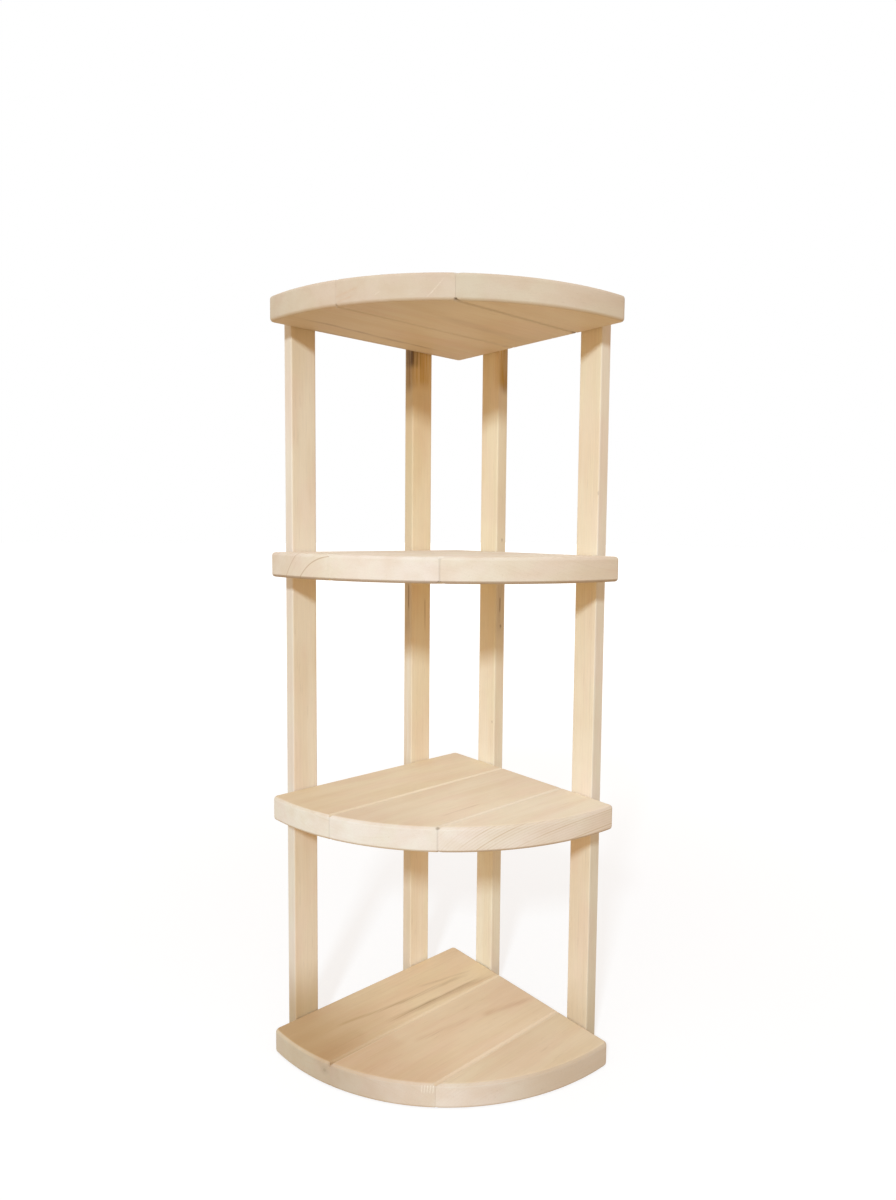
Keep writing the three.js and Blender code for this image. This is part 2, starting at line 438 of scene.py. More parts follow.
def noise(tree, vector, scale, detail=2.0, roughness=0.5):
    sockets = {"Vector": vector, "Scale": scale, "Detail": detail, "Roughness": roughness}
    return add_node(tree, "TexNoise", sockets).outputs["Fac"]


def wander(tree, vector, scale, detail, amount):
    """A soft push to all sides that changes from place to place."""
    push = add_node(tree, "TexNoise", {"Vector": vector, "Scale": scale, "Detail": detail}).outputs["Color"]
    return scaled(tree, vector_calc(tree, "SUBTRACT", push, (0.5, 0.5, 0.5)), amount)


def new_group(name, inputs, outputs):
    """A node group with named inputs, vectors and floats as their defaults are, and named floats put out."""
    group = bpy.data.node_groups.new(name, "ShaderNodeTree")
    for label, default in inputs.items():
        kind = "NodeSocketVector" if isinstance(default, tuple) else "NodeSocketFloat"
        group.interface.new_socket(label, in_out="INPUT", socket_type=kind).default_value = default
    for label in outputs:
        group.interface.new_socket(label, in_out="OUTPUT", socket_type="NodeSocketFloat")
    return group, group.nodes.new("NodeGroupInput").outputs, group.nodes.new("NodeGroupOutput").inputs


def place_group(tree, group, inputs):
    return add_node(tree, "Group", inputs, node_tree=group).outputs


# How the rings wander: how often in a metre on each axis, and how far in metres
RING_DRIFT = (7, 1.4, 7)
RING_WANDER = 0.010

# What runs along the grain: how often it repeats in a metre on each axis, its detail and its roughness
GRAIN_PATTERNS = {
    "Fibres": ((1500, 30, 1500), 3.0, 0.60),
    "Bands": ((60, 3.4, 60), 4.0, 0.55),
    "Vessels": ((620, 34, 620), 1.0, 0.50),
    "Patches": ((22, 9, 22), 3.0, 0.50),
    "Blush": ((30, 12, 30), 2.0, 0.50),
}
LINE_STREAKS = (900, 14, 900)
LINE_WAVER_SCALE = 16.0
KNOT_STRETCH = (1.0, 0.55, 1.0)
KNOT_GRIT_SCALE = 450.0
KNOT_GRIT = 0.7

# Values between which a mask goes from nothing to all, or else from the first share given to the last
LATE_GROWS = (0.45, 0.94)
LATE_ENDS = (1.0, 0.96)
YEAR_LIMITS = (0.3, 1.0)
VESSEL_LIMITS = (0.66, 0.78)
WARMTH_LIMITS = (0.36, 0.66)
BLUSH_LIMITS = (0.42, 0.62)
PATCHES = (0.38, 0.60, 0.45, 1.0)
LINE_FADES_IN = (-0.02, 0.15)
LINE_FADES_OUT = (1.02, 0.75)
STREAKS = (0.3, 0.62, 0.25, 1.0)
KNOT_CORE = (0.75, 0.2)
KNOT_HALO = (1.6, 0.6, 0.0, 0.4)
RIM_SLOPES = (0.98, 0.80)
PAINTED_CREST_GROWS = (0.12, 0.50)
PAINTED_CREST_ENDS = (0.99, 0.85)
PAINTED_LOW_EDGE_GROWS = (-0.05, -0.30)
PAINTED_LOW_EDGE_ENDS = (-0.99, -0.90)
WIDE_FACE_SLOPES = (0.9, 0.5)
BESIDE_JOINT = (0.02, 0.30)
FIBRE_SHADES = (0.25, 0.75, 0.97, 1.03)
FIBRE_ROUGHNESS = (0.2, 0.8, 0.56, 0.68)

# The same for places in the joints, from a joint's middle and from a board's middle height, in metres
GROOVE_SIDES = (0.0050, 0.0022)
GROOVE_HEIGHTS = (0.0110, 0.0125)
GROOVE_SLOPES = (0.3, 0.1)
PAINTED_GAP_SIDES = (0.0014, 0.0005)
PAINTED_GAP_HEIGHTS = (0.0115, 0.0125)
PAINTED_GAP_MIDDLE = (-0.001, 0.001)


def growth_ring_group():
    """Year rings round a pith that runs along Y: their dark late wood, how strongly it shows with some
    years stronger than others, and how far from the pith the place is."""
    group, given, result = new_group(
        "Growth rings",
        {"Vector": ORIGIN, "Pith": ORIGIN, "Ring width": 0.003, "Weakest year": 0.15},
        ["Late wood", "Strength", "Reach"])
    off_axis = vector_calc(group, "SUBTRACT", given["Vector"], given["Pith"])
    slow = vector_calc(group, "MULTIPLY", given["Vector"], RING_DRIFT)
    bent = vector_calc(group, "ADD", off_axis, wander(group, slow, 1.0, 3.0, RING_WANDER))
    reach = vector_calc(group, "LENGTH", vector_calc(group, "MULTIPLY", bent, (1.0, 0.0, 1.0)))
    age = calc(group, "DIVIDE", reach, given["Ring width"])
    phase = calc(group, "FRACT", age)
    late = product(group, ramp(group, phase, *LATE_GROWS), ramp(group, phase, *LATE_ENDS))
    year = add_node(group, "TexWhiteNoise", {"W": calc(group, "FLOOR", age)}, noise_dimensions="1D")
    share = ramp(group, year.outputs["Value"], *YEAR_LIMITS, given["Weakest year"], 1.0)
    feed(group, result, {"Late wood": late, "Strength": product(group, late, share), "Reach": reach})
    return group


def grain_group():
    """What runs along Y in the wood: fine fibres, short dark vessel lines, a soft warmth and a rosy blush,
    and how strongly the rings show from patch to patch."""
    group, given, result = new_group(
        "Grain", {"Vector": ORIGIN}, ["Fibres", "Vessels", "Warmth", "Blush", "Ring share"])
    found = {
        label: noise(group, vector_calc(group, "MULTIPLY", given["Vector"], rates), 1.0, detail, roughness)
        for label, (rates, detail, roughness) in GRAIN_PATTERNS.items()}
    tone = calc(group, "ADD", product(group, found["Bands"], 0.5), product(group, found["Patches"], 0.5))
    feed(group, result, {
        "Fibres": found["Fibres"],
        "Vessels": ramp(group, found["Vessels"], *VESSEL_LIMITS),
        "Warmth": ramp(group, tone, *WARMTH_LIMITS),
        "Blush": ramp(group, found["Blush"], *BLUSH_LIMITS),
        "Ring share": ramp(group, found["Patches"], *PATCHES),
    })
    return group


def mineral_line_group():
    """A line from a start to an end place, which wavers a little and is broken up along the grain."""
    group, given, result = new_group(
        "Mineral line",
        {"Vector": ORIGIN, "Start": ORIGIN, "End": (0, 0.1, 0), "Width": 0.0015, "Waver": 0.008}, ["Mask"])
    along = vector_calc(group, "SUBTRACT", given["End"], given["Start"])
    from_start = vector_calc(group, "SUBTRACT", given["Vector"], given["Start"])
    length_squared = vector_calc(group, "DOT_PRODUCT", along, along)
    share = calc(group, "DIVIDE", vector_calc(group, "DOT_PRODUCT", from_start, along), length_squared)
    off_line = vector_calc(group, "SUBTRACT", from_start, scaled(group, along, share))
    waver = wander(group, given["Vector"], LINE_WAVER_SCALE, 2.0, given["Waver"])
    distance = vector_calc(group, "LENGTH", vector_calc(group, "ADD", off_line, waver))
    nearness = ramp(group, calc(group, "DIVIDE", distance, given["Width"]), 1.0, 0.0)
    fade = product(group, ramp(group, share, *LINE_FADES_IN), ramp(group, share, *LINE_FADES_OUT))
    streaky = vector_calc(group, "MULTIPLY", given["Vector"], LINE_STREAKS)
    broken = ramp(group, noise(group, streaky, 1.0), *STREAKS)
    feed(group, result, {"Mask": product(group, nearness, fade, broken)})
    return group


def pin_knot_group():
    """A small round knot: a dark core with a soft rim, drawn out a little along the grain."""
    group, given, result = new_group(
        "Pin knot", {"Vector": ORIGIN, "Centre": ORIGIN, "Radius": 0.0025}, ["Mask"])
    offset = vector_calc(group, "SUBTRACT", given["Vector"], given["Centre"])
    offset = vector_calc(group, "MULTIPLY", offset, KNOT_STRETCH)
    rough = calc(group, "SUBTRACT", noise(group, given["Vector"], KNOT_GRIT_SCALE), 0.5)
    distance = calc(group, "DIVIDE", vector_calc(group, "LENGTH", offset), given["Radius"])
    distance = calc(group, "ADD", distance, product(group, rough, KNOT_GRIT))
    halo = ramp(group, distance, *KNOT_HALO)
    feed(group, result, {"Mask": calc(group, "MAXIMUM", ramp(group, distance, *KNOT_CORE), halo)})
    return group


def board_edge_group():
    """Where a board has its rim, and where shade is painted: on the crests of its eased edges and on its
    lower eased edge.
    """
    group, given, result = new_group("Board edge", {"Normal": ORIGIN}, ["Rim", "Painted crest shade", "Painted low edge shade"])
    upwards = axes(group, given["Normal"])["Z"]
    slope = calc(group, "ABSOLUTE", upwards)
    feed(group, result, {
        "Rim": ramp(group, slope, *RIM_SLOPES),
        "Painted crest shade": product(group, ramp(group, slope, *PAINTED_CREST_GROWS), ramp(group, slope, *PAINTED_CREST_ENDS)),
        "Painted low edge shade": product(
            group, ramp(group, upwards, *PAINTED_LOW_EDGE_GROWS), ramp(group, upwards, *PAINTED_LOW_EDGE_ENDS)),
    })
    return group


def joint_group():
    """A joint between two boards: the planed groove, and the dark line of painted shade for the open gap at
    its root, with the line's fainter end on the rim."""
    group, given, result = new_group(
        "Board joint",
        {"Vector": ORIGIN, "Normal": ORIGIN, "Joint": ORIGIN, "Upper share": 0.05, "Lower share": 0.05,
         "Rim share": 0.0},
        ["Groove", "Painted gap shade"])
    offset = axes(group, vector_calc(group, "SUBTRACT", given["Vector"], given["Joint"]))
    aside = calc(group, "ABSOLUTE", offset["X"])
    off_middle = calc(group, "ABSOLUTE", offset["Z"])
    facing_front = calc(group, "ABSOLUTE", axes(group, given["Normal"])["Y"])
    groove = product(
        group, ramp(group, aside, *GROOVE_SIDES), ramp(group, off_middle, *GROOVE_HEIGHTS),
        ramp(group, facing_front, *GROOVE_SLOPES))
    face_share = ramp(group, offset["Z"], *PAINTED_GAP_MIDDLE, given["Lower share"], given["Upper share"])
    share = ramp(group, off_middle, *PAINTED_GAP_HEIGHTS, given["Rim share"], face_share)
    feed(group, result, {"Groove": groove, "Painted gap shade": product(group, ramp(group, aside, *PAINTED_GAP_SIDES), share)})
    return group


GROWTH_RINGS = growth_ring_group()
GRAIN = grain_group()
MINERAL_LINE = mineral_line_group()
PIN_KNOT = pin_knot_group()
BOARD_EDGE = board_edge_group()
BOARD_JOINT = joint_group()


# Colours

def srgb(red, green, blue):
    """A colour given in 0 to 255 display values, as the linear colour that the shaders take."""
    def linear(value):
        value /= 255
        return value / 12.92 if value <= 0.04045 else ((value + 0.055) / 1.055) ** 2.4
    return (linear(red), linear(green), linear(blue), 1.0)


def shaded(colour, shares):
    """A colour with each channel scaled."""
    return (*[channel * share for channel, share in zip(colour, shares)], 1.0)


MINERAL_BROWN = srgb(176, 140, 100)
STREAK_BROWN = srgb(172, 134, 84)
ROSY_BROWN = srgb(202, 158, 118)
# A brown for stains and streaks, and for shade painted under the shelves, on lower eased edges and at joint
# ends
STAIN_AND_PAINTED_SHADE_BROWN = srgb(128, 88, 54)
# Painted shade under the top shelf on the rear posts' tops
PAINTED_SHADE_BROWN_UNDER_TOP = srgb(122, 74, 18)
PAINTED_SHADE_GOLD_UNDER_TOP = srgb(200, 152, 50)
PAINTED_DEEP_SHADE_UNDER_TOP = srgb(70, 38, 8)
KNOT_BROWN = srgb(120, 78, 46)
KNOT_GREY = srgb(128, 116, 92)
# Painted shade in the open gaps of the joints and where they meet the rim
PAINTED_GAP_SHADE = srgb(68, 42, 16)
# Painted shade at the front posts' feet
PAINTED_FOOT_SHADE = srgb(180, 148, 84)
# Pale grain on the shelves' rims, and painted light on the left rear post's narrow face
PALE_GRAIN_AND_PAINTED_LIGHT = srgb(252, 242, 228)

# What the wood's own colour is multiplied by, and for the eased edges' crests the painted shade
PAINTED_CREST_SHADE = (0.76, 0.67, 0.56)
RING_SHADE = (0.70, 0.60, 0.50)
VESSEL_SHADE = (0.55, 0.45, 0.35)
WARM_TONE = (0.94, 0.90, 0.85, 1.0)
ROSY_TONE = (1.0, 0.97, 0.985, 1.0)
GROOVE_BLUE_SHARE = 1.04

# How strongly the grain shows, where a board's faces change colour and where shade is painted at a post's
# foot, in metres
VESSEL_SHARE = 0.16
RING_RELIEF_SHARE = 0.6
GRAIN_RELIEF = {"Strength": 0.2, "Distance": 0.0002}
FACE_TONE_START = 0.12
PAINTED_FOOT_SHADE_HEIGHTS = (0.03, 0.11)


# Materials

def new_material(name):
    material = bpy.data.materials.new(name)
    material.use_nodes = True
    return material, material.node_tree, material.node_tree.nodes["Principled BSDF"]


def plain_colours(tree, cut, along, across, on_rim):
    """The faces' colours from one end to the other, and with them the rim's from side to side."""
    face, rim = [[srgb(*colour) for colour in cut[part]] for part in ("face", "rim")]
    faces = blend_colours(tree, along, *face)
    return faces, blend_colours(tree, on_rim, faces, blend_colours(tree, across, *rim))


def board_colours(tree, cut, coordinates):
    """A board's colours: its faces change tone from the rear to the front, and its rim from side to side."""
    place = axes(tree, coordinates["Object"])
    edge = place_group(tree, BOARD_EDGE, {"Normal": coordinates["Normal"]})
    across = ramp(tree, place["X"], *cut["span"])
    along = ramp(tree, place["Y"], CORNER.y - FACE_TONE_START, CORNER.y - SHELF_RADIUS)
    faces, wood = plain_colours(tree, cut, along, across, edge["Rim"])
    # Painted shade on the crests of the eased edges, toning down their highlight, and on the lower eased edge
    painted_crest_colour = shaded(srgb(*cut["face"][0]), PAINTED_CREST_SHADE)
    wood = blend_colours(tree, product(tree, edge["Painted crest shade"], cut["crest"]), wood, painted_crest_colour)
    wood = blend_colours(tree, product(tree, edge["Painted low edge shade"], cut["low_edge"]), wood, STAIN_AND_PAINTED_SHADE_BROWN)
    return faces, wood, across, edge["Rim"]


def post_colours(tree, cut, coordinates):
    """A post's colours: its narrow faces and its wide faces change tone from the foot to the top, and shade
    is painted at the front posts' feet.
    """
    height = axes(tree, coordinates["Object"])["Z"]
    narrow = calc(tree, "ABSOLUTE", axes(tree, coordinates["Normal"])[cut["narrow_side"]])
    on_wide = ramp(tree, narrow, *WIDE_FACE_SLOPES)
    upwards = ramp(tree, height, *cut["span"])
    faces, wood = plain_colours(tree, cut, upwards, upwards, on_wide)
    # Painted shade at the foot, next to the bottom shelf
    foot = ramp(tree, height, *PAINTED_FOOT_SHADE_HEIGHTS, cut["foot"], 0.0)
    return faces, blend_colours(tree, foot, wood, PAINTED_FOOT_SHADE), upwards, on_wide


def grained(tree, wood, cut, rings, grain, across, on_rim):
    """Soft tones along the grain, growth rings, vessels and fibres."""
    plain = srgb(*cut["face"][0])
    wood = blend_colours(tree, grain["Warmth"], wood, WARM_TONE, "MULTIPLY")
    wood = blend_colours(tree, grain["Blush"], wood, ROSY_TONE, "MULTIPLY")
    strength = product(
        tree, rings["Strength"], grain["Ring share"], ramp(tree, on_rim, 0.0, 1.0, *cut["rings"]),
        ramp(tree, across, *BESIDE_JOINT, cut["joint_rings"], 1.0))
    wood = blend_colours(tree, strength, wood, shaded(plain, RING_SHADE))
    for radius, width, share in cut["dark_years"]:
        off_year = calc(tree, "ABSOLUTE", calc(tree, "SUBTRACT", rings["Reach"], radius))
        dark_year = product(tree, ramp(tree, off_year, width, 0.0), on_rim, share)
        wood = blend_colours(tree, dark_year, wood, MINERAL_BROWN)
    vessels = product(tree, grain["Vessels"], VESSEL_SHARE)
    wood = blend_colours(tree, vessels, wood, shaded(plain, VESSEL_SHADE))
    return scaled(tree, wood, ramp(tree, grain["Fibres"], *FIBRE_SHADES))


def glued_joints(tree, wood, faces, coordinates, joints):
    for place, tone, upper_share, lower_share, rim_share in joints:
        joint = place_group(
            tree, BOARD_JOINT,
            {"Vector": coordinates["Object"], "Normal": coordinates["Normal"], "Joint": place,
             "Upper share": upper_share, "Lower share": lower_share, "Rim share": rim_share})
        planed = blend_colours(tree, 1.0, faces, (tone, tone, tone * GROOVE_BLUE_SHARE, 1.0), "MULTIPLY")
        wood = blend_colours(tree, joint["Groove"], wood, planed)
        # Painted shade of the open gap at the groove's root
        wood = blend_colours(tree, joint["Painted gap shade"], wood, PAINTED_GAP_SHADE)
    return wood


def lines_and_spots(tree, wood, wood_place, lines, spots):
    for start, end, width, waver, strength, colour in lines:
        line = place_group(
            tree, MINERAL_LINE,
            {"Vector": wood_place, "Start": start, "End": end, "Width": width, "Waver": waver})
        wood = blend_colours(tree, product(tree, line["Mask"], strength), wood, colour)
    for centre, radius, strength, colour in spots:
        spot = place_group(tree, PIN_KNOT, {"Vector": wood_place, "Centre": centre, "Radius": radius})
        wood = blend_colours(tree, product(tree, spot["Mask"], strength), wood, colour)
    return wood


def lime_wood(name, upright, cut, joints, lines, spots):
    """Sanded limewood. The grain runs along Y, or along Z in an upright piece."""
    material, tree, shader = new_material(name)
    coordinates = add_node(tree, "TexCoord").outputs
    wood_place = add_node(
        tree, "Mapping",
        {"Vector": coordinates["Object"], "Rotation": (QUARTER if upright else 0, 0, 0)}).outputs["Vector"]
    rings = place_group(
        tree, GROWTH_RINGS,
        {"Vector": wood_place, "Pith": cut["pith"], "Ring width": cut["year"],
         "Weakest year": cut["weakest_year"]})
    grain = place_group(tree, GRAIN, {"Vector": wood_place})
    piece_colours = post_colours if upright else board_colours
    faces, wood, across, on_rim = piece_colours(tree, cut, coordinates)
    wood = grained(tree, wood, cut, rings, grain, across, on_rim)
    wood = glued_joints(tree, wood, faces, coordinates, joints)
    wood = lines_and_spots(tree, wood, wood_place, lines, spots)
    height = calc(tree, "ADD", grain["Fibres"], product(tree, rings["Late wood"], RING_RELIEF_SHARE))
    bump = add_node(tree, "Bump", {**GRAIN_RELIEF, "Height": height})
    feed(tree, shader.inputs, {
        "Base Color": wood,
        "Roughness": ramp(tree, grain["Fibres"], *FIBRE_ROUGHNESS),
        "Normal": bump.outputs["Normal"],
        "Specular IOR Level": 0.25,
    })
    return material


def plated_steel():
    material, tree, shader = new_material("zinc_plated_steel")
    cloud = noise(tree, add_node(tree, "TexCoord").outputs["Object"], 900.0, 3.0)
    feed(tree, shader.inputs, {
        "Base Color": blend_colours(tree, cloud, srgb(196, 194, 186), srgb(222, 218, 204)),
        "Roughness": ramp(tree, cloud, 0.3, 0.7, 0.28, 0.42),
        "Metallic": 1.0,
    })
    return material


def dowel_beech():
    """Beech with short flecks along X."""
    material, tree, shader = new_material("dowel_beech")
    place = add_node(tree, "TexCoord").outputs["Object"]
    fleck = noise(tree, vector_calc(tree, "MULTIPLY", place, (40, 900, 900)), 1.0, 3.0)
    feed(tree, shader.inputs, {
        "Base Color": blend_colours(tree, fleck, srgb(226, 190, 146), srgb(196, 152, 106)),
        "Roughness": ramp(tree, fleck, 0.3, 0.7, 0.5, 0.65),
    })
    return material


# Each board's cut: the pith's offset from the board's middle, the width of a year's ring, the colours of
# the faces at the rear and the front, those of the rim at the board's two sides, and how strongly the
# rings show on face and rim. Some boards also say how strong the weakest year and the rings beside the
# joint are, how dark the shade painted on the lower eased edge is, and which single years are dark on the
# rim: their distance from the pith, width and strength.
PLAIN_CUT = dict(weakest_year=0.15, joint_rings=1.0, low_edge=0.0, dark_years=())
BOARD_CUTS = {
    # The bottom wall board's darker face colour at the front is a painted broad shadow
    ("bottom", "wall"): dict(
        pith=(0.010, 0.060), year=0.0042, face=((242, 220, 183), (196, 164, 122)),
        rim=((214, 201, 180), (205, 190, 168)), rings=(0.14, 0.20)),
    ("bottom", "middle"): dict(
        pith=(-0.030, -0.080), year=0.0036, face=((239, 217, 184), (214, 186, 150)),
        rim=((205, 188, 168), (234, 222, 206)), rings=(0.12, 0.14)),
    ("bottom", "outer"): dict(
        pith=(0.050, -0.070), year=0.0034, face=((233, 214, 183), (233, 214, 183)),
        rim=((240, 230, 216), (217, 201, 183)), rings=(0.10, 0.14)),
    ("lower", "wall"): dict(
        pith=(0.060, 0.110), year=0.0040, face=((245, 227, 195), (228, 206, 172)),
        rim=((237, 229, 216), (239, 232, 219)), rings=(0.08, 0.18), low_edge=0.1),
    ("lower", "middle"): dict(
        pith=(-0.020, 0.120), year=0.0040, face=((245, 228, 200), (226, 206, 176)),
        rim=((241, 236, 226), (239, 230, 218)), rings=(0.08, 0.10), low_edge=0.1),
    ("lower", "outer"): dict(
        pith=(0.092, -0.092), year=0.0026, face=((243, 228, 202), (241, 226, 200)),
        rim=((241, 231, 220), (234, 221, 204)), rings=(0.08, 1.0), low_edge=0.3,
        weakest_year=0.30, joint_rings=0.25),
    ("upper", "wall"): dict(
        pith=(0.059, -0.051), year=0.0050, face=((240, 226, 204), (240, 226, 204)),
        rim=((227, 211, 192), (235, 222, 204)), rings=(0.08, 0.12), low_edge=0.45,
        dark_years=((0.0641, 0.0011, 0.60), (0.0855, 0.0010, 0.42))),
    ("upper", "middle"): dict(
        pith=(0.000, 0.090), year=0.0040, face=((242, 229, 208), (242, 229, 208)),
        rim=((235, 222, 204), (234, 222, 208)), rings=(0.08, 0.10), low_edge=0.45),
    ("upper", "outer"): dict(
        pith=(-0.060, -0.090), year=0.0036, face=((240, 225, 202), (240, 225, 202)),
        rim=((232, 219, 201), (228, 212, 191)), rings=(0.08, 0.14), low_edge=0.45),
    ("top", "wall"): dict(
        pith=(-0.050, -0.080), year=0.0040, face=((237, 220, 198), (223, 205, 184)),
        rim=((209, 193, 170), (211, 192, 169)), rings=(0.12, 0.14)),
    ("top", "middle"): dict(
        pith=(0.030, 0.090), year=0.0036, face=((237, 221, 200), (220, 203, 183)),
        rim=((209, 190, 167), (209, 190, 168)), rings=(0.12, 0.14)),
    ("top", "outer"): dict(
        pith=(0.020, -0.120), year=0.0034, face=((235, 218, 197), (231, 214, 193)),
        rim=((206, 190, 167), (214, 197, 174)), rings=(0.12, 0.16)),
}

# How strongly shade is painted on the upper and lower crests of a shelf's eased edge, toning down their
# highlight
PAINTED_CREST_SHADE_SHARES = {"bottom": 0.40, "lower": 0.36, "upper": 0.12, "top": 0.25}

# How the two joints of a shelf look, the wall board's and then the outer board's: the tone of the groove,
# and how dark the painted shade of the open gap at its root shows in the upper groove, in the lower groove
# and on the rim
JOINT_LOOKS = {
    "bottom": ((1.0, 0.06, 0.06, 0.0), (1.0, 0.04, 0.04, 0.0)),
    "lower": ((1.0, 0.05, 0.05, 0.05), (0.95, 0.05, 0.05, 0.06)),
    "upper": ((1.0, 0.10, 0.10, 0.0), (1.0, 0.15, 0.15, 0.08)),
    "top": ((0.95, 0.05, 0.18, 0.0), (0.90, 0.05, 0.76, 0.0)),
}


def on_board(shelf, across, along, up_share=1.0):
    """A place on a shelf: across from the left wall's side, along from the rear, at a share of its height."""
    low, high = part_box(f"{shelf}_shelf_wall_board")
    return (CORNER.x + across, CORNER.y - along, low.z + (high.z - low.z) * up_share)


def on_rim(shelf, across, up_share):
    """A place on a shelf's round rim."""
    return on_board(shelf, across, math.sqrt(SHELF_RADIUS ** 2 - across ** 2), up_share)


def joint_at(shelf, side):
    """How far a joint lies from the left wall's side: the wall board's joint or the outer board's."""
    board, corner = {"wall": ("wall", 1), "outer": ("outer", 0)}[side]
    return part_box(f"{shelf}_shelf_{board}_board")[corner].x - CORNER.x


def at_joint(shelf, side, up_share):
    """Where a joint meets the rim."""
    return on_rim(shelf, joint_at(shelf, side), up_share)


# The open end of the bottom wall board's joint: a dark line of painted shade in the groove that fades
# towards the rear
BOTTOM_JOINT = joint_at("bottom", "wall")
JOINT_END = (on_board, (BOTTOM_JOINT, 0.288), (BOTTOM_JOINT, 0.175), 0.0022, 0.0, 0.60, STAIN_AND_PAINTED_SHADE_BROWN)

# Short pale lines side by side on the bottom shelf's rim: how far they stand from the outer board's joint
# and from each other, and how far they lean
TICK_START = 0.0015
TICK_PITCH = 0.0024
TICK_LEAN = 0.0008
TICKS = [joint_at("bottom", "outer") - TICK_START - TICK_PITCH * step for step in range(5)]

# Painted shade where the top shelf's outer joint is open at the rear of its lower face
REAR_NOTCH = (on_board, (joint_at("top", "outer"), 0.004, 0.04), 0.0032, 0.90, PAINTED_GAP_SHADE)

# Lines in the boards: how their places are given, start, end, width, waver, strength and colour
BOARD_LINES = {
    ("bottom", "wall"): [
        (on_board, (0.049, 0.240), (0.063, 0.135), 0.0045, 0.006, 0.50, STREAK_BROWN),
        (on_board, (0.061, 0.160), (0.071, 0.030), 0.0060, 0.008, 0.45, STREAK_BROWN),
        (on_board, (0.050, 0.110), (0.068, 0.020), 0.0035, 0.006, 0.30, STREAK_BROWN),
        (on_board, (0.084, 0.190), (0.096, 0.000), 0.0085, 0.008, 0.50, STREAK_BROWN),
        (on_board, (0.085, 0.165), (0.090, 0.020), 0.0030, 0.004, 0.40, STAIN_AND_PAINTED_SHADE_BROWN),
        (on_board, (0.078, 0.215), (0.092, 0.300), 0.0180, 0.006, 0.25, STREAK_BROWN),
        JOINT_END,
    ],
    ("bottom", "middle"): [
        (on_board, (0.137, 0.185), (0.152, 0.090), 0.0080, 0.008, 0.30, ROSY_BROWN),
        (on_board, (0.157, 0.085), (0.173, 0.000), 0.0085, 0.008, 0.45, ROSY_BROWN),
        (on_board, (0.120, 0.190), (0.140, 0.275), 0.0240, 0.006, 0.30, ROSY_BROWN),
        JOINT_END,
        *[(on_rim, (across, 1.0), (across - TICK_LEAN, 0.60), 0.0010, 0.0, 0.90, PALE_GRAIN_AND_PAINTED_LIGHT)
          for across in TICKS],
    ],
    ("lower", "middle"): [
        (on_board, (0.190, 0.120), (0.192, 0.190), 0.0022, 0.004, 0.35, MINERAL_BROWN),
    ],
    ("top", "wall"): [
        (on_board, (0.031, 0.060, 0.0), (0.043, 0.300, 0.0), 0.0055, 0.012, 0.45, STAIN_AND_PAINTED_SHADE_BROWN),
        (on_board, (0.006, 0.000, 0.0), (0.006, 0.290, 0.0), 0.0050, 0.004, 0.25, STAIN_AND_PAINTED_SHADE_BROWN),
    ],
    ("top", "middle"): [
        (on_board, (0.150, 0.010, 0.0), (0.165, 0.180, 0.0), 0.0160, 0.016, 0.16, STAIN_AND_PAINTED_SHADE_BROWN),
        (on_rim, (0.206, 0.20), (0.217, 0.78), 0.0010, 0.002, 0.28, PALE_GRAIN_AND_PAINTED_LIGHT),
        (on_rim, (0.203, 0.08), (0.209, 0.36), 0.0009, 0.002, 0.18, PALE_GRAIN_AND_PAINTED_LIGHT),
        (on_rim, (0.110, 0.30), (0.142, 0.62), 0.0024, 0.004, 0.30, ROSY_BROWN),
        (on_rim, (0.114, 0.12), (0.136, 0.34), 0.0018, 0.004, 0.30, ROSY_BROWN),
        (on_rim, (0.157, 0.27), (0.163, 0.40), 0.0010, 0.001, 0.28, PALE_GRAIN_AND_PAINTED_LIGHT),
    ],
}

# Spots in the boards: how their places are given, centre, radius, strength and colour. The spots at the
# joints' ends are painted shade in the open joints.
BOARD_SPOTS = {
    ("bottom", "wall"): [
        (on_rim, (0.096, 0.62), 0.0050, 0.35, KNOT_GREY),
        (at_joint, ("wall", 0.96), 0.0030, 0.65, STAIN_AND_PAINTED_SHADE_BROWN),
    ],
    ("bottom", "middle"): [(at_joint, ("wall", 0.96), 0.0022, 0.45, STAIN_AND_PAINTED_SHADE_BROWN)],
    ("lower", "middle"): [
        (at_joint, ("outer", 0.96), 0.0019, 1.00, PAINTED_GAP_SHADE),
        (at_joint, ("outer", 0.05), 0.0013, 0.90, PAINTED_GAP_SHADE),
    ],
    ("lower", "outer"): [
        (at_joint, ("outer", 0.96), 0.0016, 1.00, PAINTED_GAP_SHADE),
        (at_joint, ("outer", 0.05), 0.0013, 0.90, PAINTED_GAP_SHADE),
    ],
    ("upper", "middle"): [(at_joint, ("outer", 0.05), 0.0020, 0.80, PAINTED_GAP_SHADE)],
    ("upper", "outer"): [(at_joint, ("outer", 0.05), 0.0016, 0.70, PAINTED_GAP_SHADE)],
    ("top", "middle"): [(at_joint, ("outer", 0.02), 0.0018, 0.80, PAINTED_GAP_SHADE), REAR_NOTCH],
    ("top", "outer"): [(at_joint, ("outer", 0.02), 0.0014, 0.70, PAINTED_GAP_SHADE), REAR_NOTCH],
}


def board_joints(shelf, board):
    """The joints at a board's sides, each with its place and its look."""
    low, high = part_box(f"{shelf}_shelf_{board}_board")
    wall_look, outer_look = JOINT_LOOKS[shelf]
    sides = {
        "wall": [(high.x, wall_look)],
        "middle": [(low.x, wall_look), (high.x, outer_look)],
        "outer": [(low.x, outer_look)],
    }
    return [((x, 0.0, (low.z + high.z) / 2), *look) for x, look in sides[board]]


